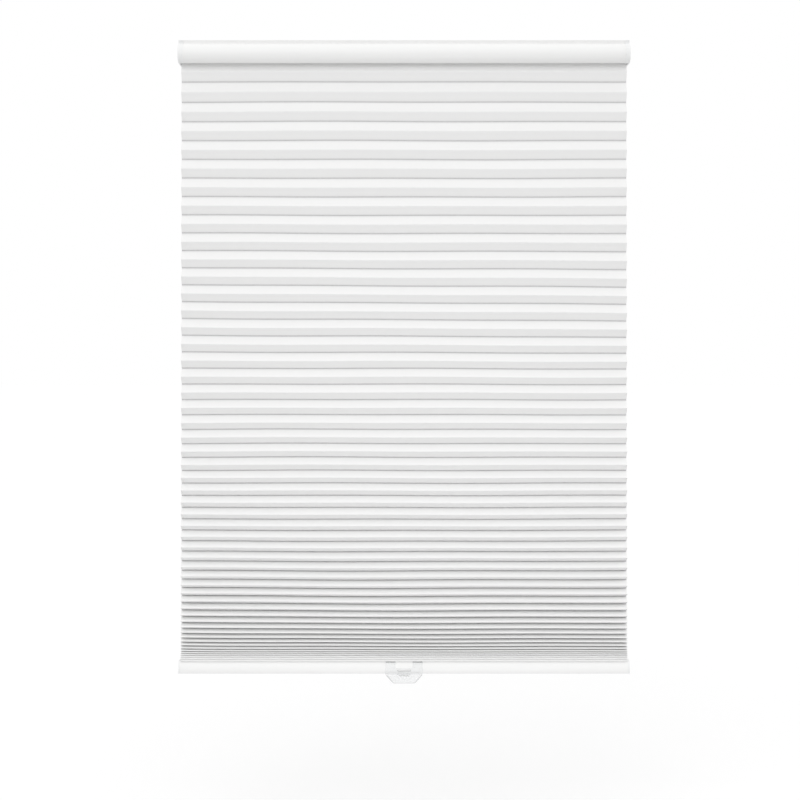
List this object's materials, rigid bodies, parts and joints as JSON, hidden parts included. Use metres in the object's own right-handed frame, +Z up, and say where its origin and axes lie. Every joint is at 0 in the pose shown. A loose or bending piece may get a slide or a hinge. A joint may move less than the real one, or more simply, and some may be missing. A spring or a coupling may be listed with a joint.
{
  "type": "pleated blind",
  "caption": "White cordless honeycomb blind with a half-round headrail, folding cell cloth, sprung lift and a bottom rail with a clear pull handle.",
  "frame": {"origin": "centre of the four bracket screw holes, on the plane of the wall", "axes": "+X to the right as seen from the room, +Y into the wall, +Z up"},
  "size_m": [0.762, 0.063, 1.0846],
  "materials": {
    "white_rail": "extruded aluminium, satin white paint",
    "white_cap": "moulded, satin",
    "cloth": "non-woven polyester, glued into cells",
    "cord": "braided polyester",
    "pale_plastic": "moulded, matte",
    "grey_plastic": "moulded, matte",
    "clear_plastic": "clear moulded polycarbonate",
    "steel": "zinc plated"
  },
  "bodies": {
    "headrail": {"headrail": "white_rail", "headrail_cap_left": "white_cap", "headrail_cap_right": "white_cap", "wall_bracket_left": "steel", "wall_bracket_right": "steel", "top_strip": "pale_plastic", "honeycomb_fabric": "cloth", "motor_base": "grey_plastic", "motor_cover": "pale_plastic", "motor_screws": "steel", "spring_ribbon": "steel", "cord_guide_left": "pale_plastic", "cord_guide_right": "pale_plastic", "roller_pin_left": "steel", "roller_pin_right": "steel", "lift_cord_left": "cord", "lift_cord_right": "cord"},
    "bottom_rail": {"bottom_rail": "white_rail", "bottom_rail_cap_left": "white_cap", "bottom_rail_cap_right": "white_cap", "bottom_strip": "pale_plastic", "weight_bar": "steel", "pull_handle": "clear_plastic", "cord_anchor_left": "pale_plastic", "cord_anchor_right": "pale_plastic"},
    "spool_left": {"cord_spool_left": "pale_plastic", "cord_winding_left": "cord"},
    "spool_right": {"cord_spool_right": "pale_plastic", "cord_winding_right": "cord"},
    "output_drum": {"output_drum": "pale_plastic"},
    "idler_gear": {"idler_gear": "pale_plastic"},
    "storage_drum": {"storage_drum": "white_cap"},
    "guide_roller_left": {"guide_roller_left": "white_cap"},
    "guide_roller_right": {"guide_roller_right": "white_cap"}
  },
  "joints": [
    {"name": "rail_lift", "type": "slide", "parent": "headrail", "child": "bottom_rail", "axis": [0, 0, 1], "range_m": [-0.12, 0.925], "deforming": ["honeycomb_fabric", "lift_cord_left", "lift_cord_right"]},
    {"name": "spool_left_turn", "type": "hinge", "parent": "headrail", "child": "spool_left", "pos_m": [-0.0405, -0.02149, 0], "axis": [0, 0, 1], "range_deg": [-810.9, 6237.1]},
    {"name": "output_drum_turn", "type": "hinge", "parent": "headrail", "child": "output_drum", "pos_m": [-0.0135, -0.02149, 0], "axis": [0, 0, 1], "range_deg": [-6237.1, 810.9]},
    {"name": "idler_gear_turn", "type": "hinge", "parent": "headrail", "child": "idler_gear", "pos_m": [0.0135, -0.02149, 0], "axis": [0, 0, 1], "range_deg": [-810.9, 6237.1]},
    {"name": "storage_drum_turn", "type": "hinge", "parent": "headrail", "child": "storage_drum", "pos_m": [0.0135, -0.02149, 0], "axis": [0, 0, 1], "range_deg": [-746.2, 5738.3]},
    {"name": "spool_right_turn", "type": "hinge", "parent": "headrail", "child": "spool_right", "pos_m": [0.0405, -0.02149, 0], "axis": [0, 0, 1], "range_deg": [-6237.1, 810.9]},
    {"name": "roller_left_turn", "type": "hinge", "parent": "headrail", "child": "guide_roller_left", "pos_m": [-0.255, -0.02999, -0.0014], "axis": [0, 1, 0], "range_deg": [-1252.1, 9638.1]},
    {"name": "roller_right_turn", "type": "hinge", "parent": "headrail", "child": "guide_roller_right", "pos_m": [0.255, -0.02999, -0.0014], "axis": [0, 1, 0], "range_deg": [-9638.1, 1252.1]}
  ],
  "couplings": [
    {"joint": "spool_left_turn", "follows": "rail_lift", "rad_per_m": 117.65},
    {"joint": "output_drum_turn", "follows": "rail_lift", "rad_per_m": -117.65},
    {"joint": "idler_gear_turn", "follows": "rail_lift", "rad_per_m": 117.65},
    {"joint": "storage_drum_turn", "follows": "rail_lift", "rad_per_m": 108.24},
    {"joint": "spool_right_turn", "follows": "rail_lift", "rad_per_m": -117.65},
    {"joint": "roller_left_turn", "follows": "rail_lift", "rad_per_m": 181.82},
    {"joint": "roller_right_turn", "follows": "rail_lift", "rad_per_m": -181.82}
  ]
}
